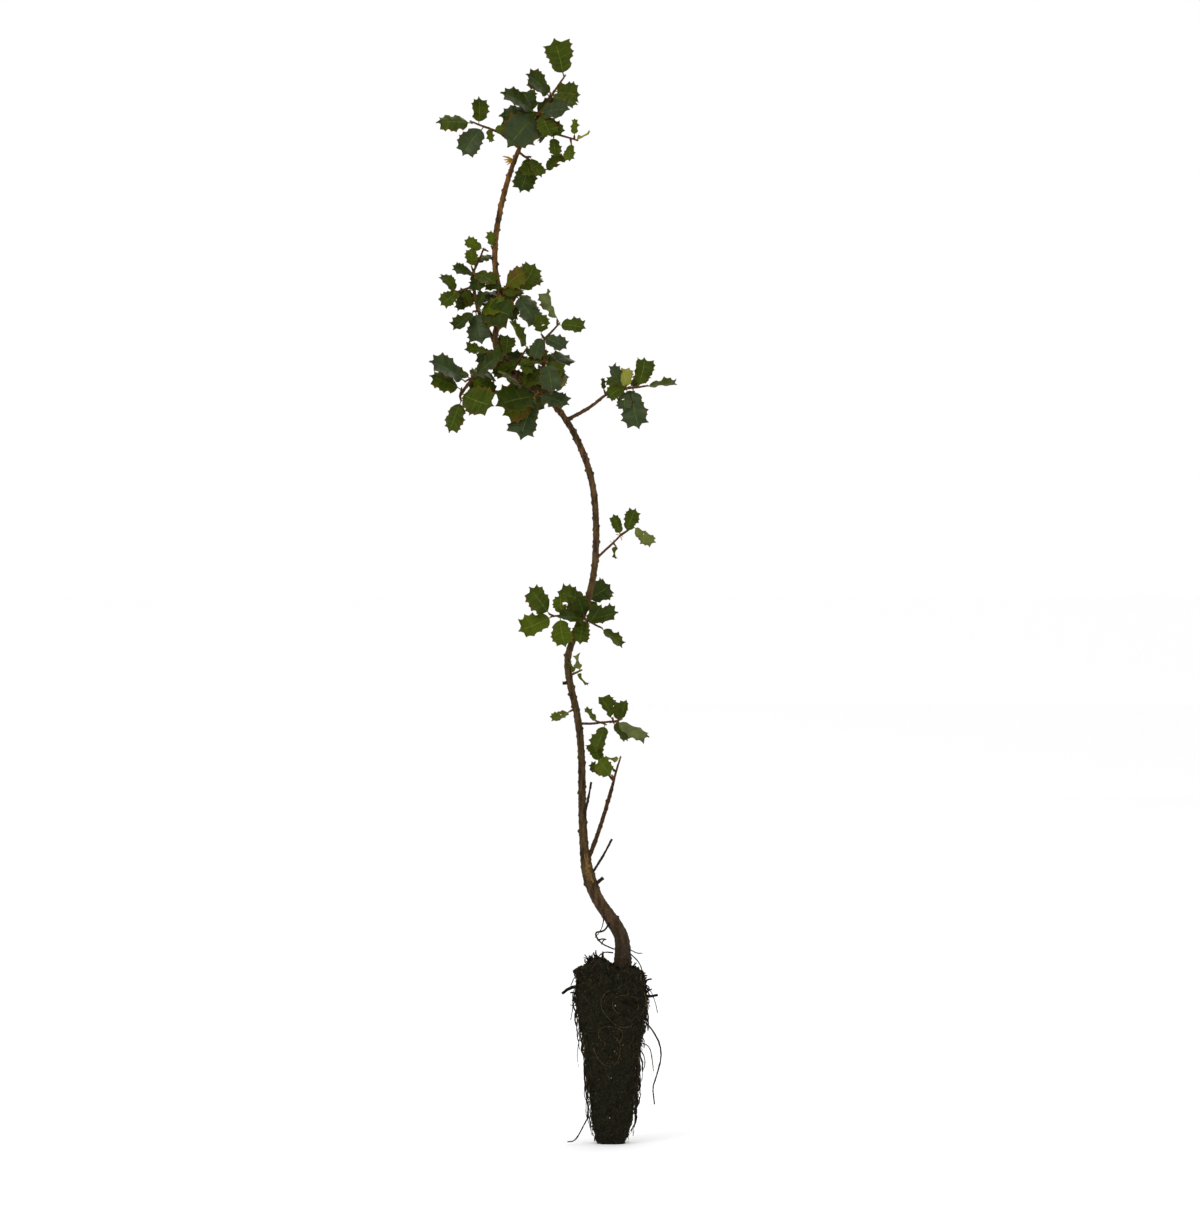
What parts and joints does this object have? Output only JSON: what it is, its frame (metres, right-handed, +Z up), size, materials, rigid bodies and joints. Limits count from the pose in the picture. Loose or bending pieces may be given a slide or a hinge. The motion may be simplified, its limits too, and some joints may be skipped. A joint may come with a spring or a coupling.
{
  "type": "young evergreen oak sapling with root ball",
  "caption": "Slender young evergreen oak with spiny leaves on a bent stem, lifted from its tray with a tapered ball of peat and roots.",
  "frame": {"origin": "middle of the root ball's flat underside, on the surface that the plant stands on", "axes": "+Z up along the plant, +X across it to the right, +Y through it towards its back"},
  "size_m": [0.232, 0.0788, 1.0478],
  "materials": {
    "bark": "rough grey-brown bark with small buds and scars",
    "shoot_bark": "young brown bark",
    "foliage": "leathery dark green leaves, satin above",
    "peat": "damp dark peat bound by fine roots",
    "root_bark": "dark woody root"
  },
  "bodies": {
    "root": {"root_ball": "peat", "trunk": "bark", "right_bough": "shoot_bark", "lower_left_bough": "shoot_bark", "left_bough": "shoot_bark", "upper_right_bough": "shoot_bark", "inner_bough": "shoot_bark", "basal_shoot": "shoot_bark", "top_left_bough": "shoot_bark", "dead_twig_low": "shoot_bark", "dead_twig_high": "shoot_bark", "stub_low": "shoot_bark", "stub_middle": "shoot_bark", "stub_root_left": "root_bark", "stub_root_right": "root_bark", "hanging_root_right": "root_bark", "hanging_root_left": "root_bark", "crest_leaves": "foliage", "head_leaves": "foliage", "top_right_leaves": "foliage", "top_low_leaves": "foliage", "top_left_leaves": "foliage", "leader_sprig_leaves": "foliage", "left_upper_leaves": "foliage", "left_side_leaves": "foliage", "left_mid_leaves": "foliage", "left_back_leaves": "foliage", "leader_side_leaves": "foliage", "leader_back_leaves": "foliage", "upper_right_leaves": "foliage", "centre_upper_leaves": "foliage", "centre_left_leaves": "foliage", "centre_back_leaves": "foliage", "centre_low_leaves": "foliage", "lower_left_inner_leaves": "foliage", "lower_left_back_leaves": "foliage", "lower_left_tip_leaves": "foliage", "lower_mid_leaves": "foliage", "lower_back_leaves": "foliage", "inner_tip_leaves": "foliage", "inner_low_leaves": "foliage", "inner_foot_leaves": "foliage", "inner_back_leaves": "foliage", "right_bough_leaves": "foliage", "small_right_leaves": "foliage", "mid_left_leaves": "foliage", "mid_right_leaves": "foliage", "mid_back_leaves": "foliage", "stem_sprig_leaves": "foliage", "left_sprig_leaves": "foliage", "right_low_leaves": "foliage", "basal_shoot_leaves": "foliage"}
  },
  "joints": []
}
